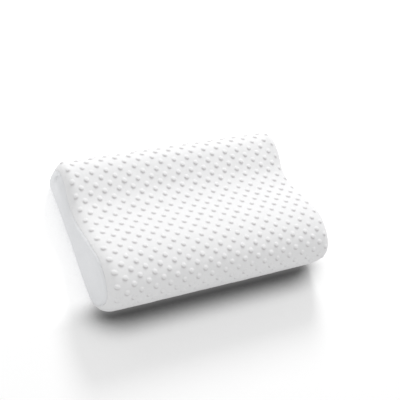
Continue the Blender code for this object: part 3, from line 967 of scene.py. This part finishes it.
def build_core(filling, materials):
    """The waved foam core, with the slightly uneven skin of a moulded block."""
    core = closed_body("waved_core", CORE_DEPTH, *CORE_STEPS)
    points = mesh_points(core.data)
    normals = np.array([vertex.normal for vertex in core.data.vertices])
    unevenness = np.clip(1 + ripples(points, 0.008, 0.04, SEED + 9), 0, 2)
    points = points + filling.shift(points) - normals * (SKIN_UNEVEN * unevenness)[:, None]
    core.data.vertices.foreach_set("co", points.ravel())
    dress(core, materials["memory_foam"], "pillow", "memory_foam", "foam_core")


def build_liner(filling, materials):
    """The thin knit sleeve round the core, and its two ends."""
    arcs = steps_through([0, ROUND.length], LINER_RING_STEP)[:-1]
    along = steps_through(ALONG_MARKS, LINER_ALONG_STEP)
    points = shell(ROUND.at(arcs), along, LINER_DEPTH)
    points = (points + filling.shift(points)).reshape(-1, 3)
    faces = quads_between(numbered(len(arcs), len(along), closed_rows=True)).reshape(-1, 4)
    flat_x, flat_arc = np.meshgrid(along, arcs)
    cloth = np.stack([flat_x, flat_arc, np.zeros_like(flat_x)], axis=-1)
    sleeve = mesh_piece("knit_liner_sleeve", points, faces, cloth.reshape(-1, 3))
    thicken(sleeve, LINER_THICK)
    dress(sleeve, materials["liner_knit"], "pillow", "liner_knit", "liner_sleeve")
    for side, word in ENDS:
        points, faces, _, _ = panel_points(side, LINER_DEPTH, LINER_RING_STEP, LINER_PANEL_STEP)
        cloth = np.c_[points[:, 1:], np.zeros(len(points))]
        panel = solid_piece(f"knit_liner_{word}_end", points + filling.shift(points), faces, cloth)
        thicken(panel, LINER_THICK)
        dress(panel, materials["liner_knit"], "pillow", "liner_knit", f"liner_{word}_end")


# ---------------- materials

# A wave texture at scale 1 has this many metres from band to band
WAVE_TEXTURE_UNIT = math.pi / 10

# A knit's loops are lower than they are wide
LOOP_SHAPE = 0.8
FUZZ_SHARE = 0.35


def new_material(name):
    material = bpy.data.materials.new(name)
    material.use_nodes = True
    return material, material.node_tree, material.node_tree.nodes["Principled BSDF"]


def add(tree, kind, **settings):
    node = tree.nodes.new(kind)
    for key, value in settings.items():
        setattr(node, key, value)
    return node


def tune(node, **values):
    """Sets a node's own inputs; an underscore stands for a space in an input's name."""
    for name, value in values.items():
        node.inputs[name.replace("_", " ")].default_value = value


def link(tree, source, target):
    tree.links.new(source, target)


def mix_colours(tree, factor, low, high):
    mix = add(tree, "ShaderNodeMix", data_type="RGBA")
    mix.inputs[6].default_value = (*low, 1)
    mix.inputs[7].default_value = (*high, 1)
    link(tree, factor, mix.inputs[0])
    return mix.outputs[2]


def map_range(tree, value, low, high):
    """A smooth 0 to 1 as the value goes from low to high."""
    ranged = add(tree, "ShaderNodeMapRange", interpolation_type="SMOOTHSTEP")
    tune(ranged, From_Min=low, From_Max=high)
    link(tree, value, ranged.inputs["Value"])
    return ranged.outputs["Result"]


def calculate(tree, operation, first, second):
    """A sum, product or the like of a value and another value or number."""
    node = add(tree, "ShaderNodeMath", operation=operation)
    link(tree, first, node.inputs[0])
    if isinstance(second, float):
        node.inputs[1].default_value = second
    else:
        link(tree, second, node.inputs[1])
    return node.outputs[0]


def in_space(tree):
    return add(tree, "ShaderNodeTexCoord").outputs["Object"]


def noise(tree, scale, detail):
    texture = add(tree, "ShaderNodeTexNoise", noise_dimensions="3D")
    tune(texture, Scale=scale, Detail=detail)
    link(tree, in_space(tree), texture.inputs["Vector"])
    return texture.outputs["Fac"]


def bands(tree, place, direction, width, wander, detail):
    """Soft bands across a direction, each of a width in metres."""
    texture = add(tree, "ShaderNodeTexWave", bands_direction=direction)
    tune(texture, Scale=WAVE_TEXTURE_UNIT / width, Distortion=wander, Detail=detail, Detail_Scale=2.0)
    link(tree, place, texture.inputs["Vector"])
    return texture.outputs["Fac"]


def emboss(tree, shader, height, strength, distance):
    bump = add(tree, "ShaderNodeBump")
    tune(bump, Strength=strength, Distance=distance)
    link(tree, height, bump.inputs["Height"])
    link(tree, bump.outputs["Normal"], shader.inputs["Normal"])


def knit_material(name, colour, shade, loop_width, bump_height):
    """Fine knit: rows of loops, a little fuzz, a soft mottle, and painted shade round the feet of the
    bubbles.
    """
    material, tree, shader = new_material(name)
    cloth = add(tree, "ShaderNodeAttribute", attribute_name="cloth").outputs["Vector"]
    wales = bands(tree, cloth, "X", loop_width, 0.6, 1.0)
    courses = bands(tree, cloth, "Y", loop_width * LOOP_SHAPE, 0.6, 1.0)
    loops = calculate(tree, "MULTIPLY", wales, courses)
    fuzz = calculate(tree, "MULTIPLY", noise(tree, 1600, 3), FUZZ_SHARE)
    emboss(tree, shader, calculate(tree, "ADD", loops, fuzz), 0.5, bump_height)
    parts = add(tree, "ShaderNodeSeparateXYZ")
    link(tree, cloth, parts.inputs[0])
    # painted shade: the colour darkens round each bubble's foot, as far as the third value of cloth says
    painted_foot_mix = add(tree, "ShaderNodeMix", data_type="RGBA", blend_type="MULTIPLY", clamp_factor=True)
    painted_foot_mix.inputs[7].default_value = (*PAINTED_FOOT_SHADE, 1)
    link(tree, parts.outputs["Z"], painted_foot_mix.inputs[0])
    link(tree, mix_colours(tree, noise(tree, 38, 4), shade, colour), painted_foot_mix.inputs[6])
    link(tree, painted_foot_mix.outputs[2], shader.inputs["Base Color"])
    tune(shader, Roughness=0.85, Specular_IOR_Level=0.25, Sheen_Weight=0.15, Sheen_Roughness=0.5)
    return material


def plain_material(name, colour, shade, scale, bump_height, roughness, metallic=0.0):
    """A material with a fine grain: its colour varies a little and its surface isn't quite even."""
    material, tree, shader = new_material(name)
    grain = noise(tree, scale, 4)
    emboss(tree, shader, grain, 0.4, bump_height)
    link(tree, mix_colours(tree, grain, shade, colour), shader.inputs["Base Color"])
    tune(shader, Roughness=roughness, Metallic=metallic)
    return material


def woven_material(name, colour, shade, thread_width, bump_height, roughness, sheen):
    """Plain weave: crossed threads along the length and the height of a flat part."""
    material, tree, shader = new_material(name)
    place = in_space(tree)
    weft = bands(tree, place, "X", thread_width, 0.4, 2.0)
    warp = bands(tree, place, "Z", thread_width, 0.4, 2.0)
    threads = calculate(tree, "MAXIMUM", weft, warp)
    emboss(tree, shader, threads, 0.6, bump_height)
    link(tree, mix_colours(tree, threads, shade, colour), shader.inputs["Base Color"])
    tune(shader, Roughness=roughness, Sheen_Weight=sheen)
    return material


def foam_material(name, colour, shade):
    """Open-cell foam: small pores under a faint skin."""
    material, tree, shader = new_material(name)
    cells = add(tree, "ShaderNodeTexVoronoi", feature="F1")
    tune(cells, Scale=900)
    link(tree, in_space(tree), cells.inputs["Vector"])
    clouds = noise(tree, 45, 5)
    emboss(tree, shader, calculate(tree, "MULTIPLY", cells.outputs["Distance"], clouds), 0.7, 0.0004)
    link(tree, mix_colours(tree, clouds, shade, colour), shader.inputs["Base Color"])
    tune(shader, Roughness=0.9)
    return material


def all_materials():
    """Each material by its slot: colour, darker shade, grain or thread size, bump height and gloss."""
    makers = {
        "bubble_knit": (knit_material, (0.81, 0.81, 0.815), (0.78, 0.78, 0.785), 0.0011, 0.0002),
        "plain_knit": (knit_material, (0.79, 0.795, 0.81), (0.75, 0.76, 0.775), 0.0009, 0.00015),
        "liner_knit": (knit_material, (0.80, 0.80, 0.78), (0.74, 0.74, 0.72), 0.0014, 0.00025),
        "memory_foam": (foam_material, (0.86, 0.80, 0.62), (0.80, 0.73, 0.54)),
        "thread": (plain_material, (0.82, 0.82, 0.82), (0.70, 0.70, 0.71), 2600, 0.0002, 0.7),
        "zip_tape": (woven_material, (0.78, 0.78, 0.79), (0.66, 0.66, 0.67), 0.0006, 0.00012, 0.8, 0.1),
        "zip_coil": (plain_material, (0.82, 0.82, 0.83), (0.76, 0.76, 0.77), 700, 0.00004, 0.32),
        "zip_metal": (plain_material, (0.66, 0.66, 0.68), (0.56, 0.56, 0.58), 900, 0.00005, 0.3, 1.0),
        "label_satin": (woven_material, (0.86, 0.86, 0.85), (0.78, 0.78, 0.77), 0.0003, 0.00004, 0.38, 0.3),
    }
    return {name: make(name, *settings) for name, (make, *settings) in makers.items()}


# ---------------- the studio


CAMERA_AIM = (0.0367, 0.0325, 0.040)
CAMERA_DISTANCE = 1.9874
CAMERA_AZIMUTH = 56.875
CAMERA_ELEVATION = 51.388
CAMERA_ROLL = -39.652
CAMERA_LENS = 90.0

KEY_TURN = 23
KEY_TILT = 34
KEY_DISTANCE = 3.0
KEY_SIZE = 0.9
KEY_WATTS = 44
WORLD_LIGHT = 0.835

# The floor: its light and the dark of a painted contact shadow, where that shadow begins and is whole in
# front of the pillow, how open the sky above is there, and how bright a painted glow it gives off elsewhere
FLOOR_SIZE = 8
FLOOR_Z = -0.0002
FLOOR_LIGHT = 0.97
FLOOR_PAINTED_SHADOW = 0.10
SHADE_ZONE = (-0.100, -0.150)
SHADE_OPENNESS = (0.95, 0.45)
CONTACT_REACH = 0.07
FLOOR_PAINTED_GLOW = 0.22


def towards(turn, tilt):
    """The direction turned from +Y towards +X and tilted up, both in degrees."""
    turn, tilt = math.radians(turn), math.radians(tilt)
    return Vector((math.sin(turn) * math.cos(tilt), math.cos(turn) * math.cos(tilt), math.sin(tilt)))


def build_camera():
    """A long-lens camera looking down on the pillow's left front, and rolled about its view."""
    forward = towards(CAMERA_AZIMUTH, -CAMERA_ELEVATION)
    right = forward.cross(Vector((0, 0, 1))).normalized()
    up = right.cross(forward)
    roll = math.radians(CAMERA_ROLL)
    rolled_up = up * math.cos(roll) + right * math.sin(roll)
    rolled_right = forward.cross(rolled_up)
    data = bpy.data.cameras.new("camera")
    data.lens = CAMERA_LENS
    camera = linked("camera", data)
    turned = Matrix((rolled_right, rolled_up, -forward)).transposed()
    place = Vector(CAMERA_AIM) - forward * CAMERA_DISTANCE
    camera.matrix_world = Matrix.Translation(place) @ turned.to_4x4()
    bpy.context.scene.camera = camera


def build_lights():
    """One large soft key light, and an even white surround."""
    data = bpy.data.lights.new("key", "AREA")
    data.shape = "DISK"
    data.size = KEY_SIZE
    data.energy = KEY_WATTS
    light = linked("key", data)
    key = towards(KEY_TURN, KEY_TILT)
    light.location = key * KEY_DISTANCE
    light.rotation_euler = key.to_track_quat("Z", "Y").to_euler()
    world = bpy.data.worlds.new("studio")
    bpy.context.scene.world = world
    world.use_nodes = True
    background = world.node_tree.nodes["Background"]
    tune(background, Color=(1.0, 1.0, 1.0, 1.0), Strength=WORLD_LIGHT)
    bpy.context.scene.view_settings.view_transform = "Standard"


def build_floor():
    """A pale glossy floor with a painted contact shadow under the pillow's front edge, and a faint painted
    glow elsewhere.
    """
    bpy.ops.mesh.primitive_plane_add(size=FLOOR_SIZE)
    floor = bpy.context.object
    floor.name = "floor"
    floor.location.z = FLOOR_Z
    material, tree, shader = new_material("floor")
    parts = add(tree, "ShaderNodeSeparateXYZ")
    link(tree, in_space(tree), parts.inputs[0])
    # painted shadow: the floor darkens in front of the pillow where the sky above is partly hidden
    in_front = map_range(tree, parts.outputs["Y"], *SHADE_ZONE)
    open_sky = add(tree, "ShaderNodeAmbientOcclusion", samples=16)
    tune(open_sky, Distance=CONTACT_REACH)
    covered = map_range(tree, open_sky.outputs["AO"], *SHADE_OPENNESS)
    shade = calculate(tree, "MULTIPLY", in_front, covered)
    colour = mix_colours(tree, shade, (FLOOR_LIGHT,) * 3, (FLOOR_PAINTED_SHADOW,) * 3)
    link(tree, colour, shader.inputs["Base Color"])
    # painted light: the floor glows faintly everywhere but in front of the pillow, washing out the key
    # light's shadow beside it
    glow = mix_colours(tree, in_front, (FLOOR_PAINTED_GLOW,) * 3, (0.0,) * 3)
    link(tree, glow, shader.inputs["Emission Color"])
    tune(shader, Emission_Strength=1.0, Roughness=0.18, Specular_IOR_Level=0.4)
    floor.data.materials.append(material)


# ---------------- the whole


def main():
    materials = all_materials()
    build_camera()
    build_lights()
    build_floor()
    filling = Filling()
    build_wrap(filling, materials)
    build_bottom(filling, materials)
    for side, word in ENDS:
        build_panel(side, word, filling, materials)
    build_core(filling, materials)
    build_liner(filling, materials)
    build_seam_beads(filling, materials)
    build_zip(materials)
    bevelled_copy("zip_slider_body", "cast_slider", SLIDER_BEVEL, "zip_slider", materials)
    bevelled_copy("zip_pull_tab", "stamped_pull_tab", TAB_BEVEL, "zip_pull", materials)
    build_label(materials)


main()
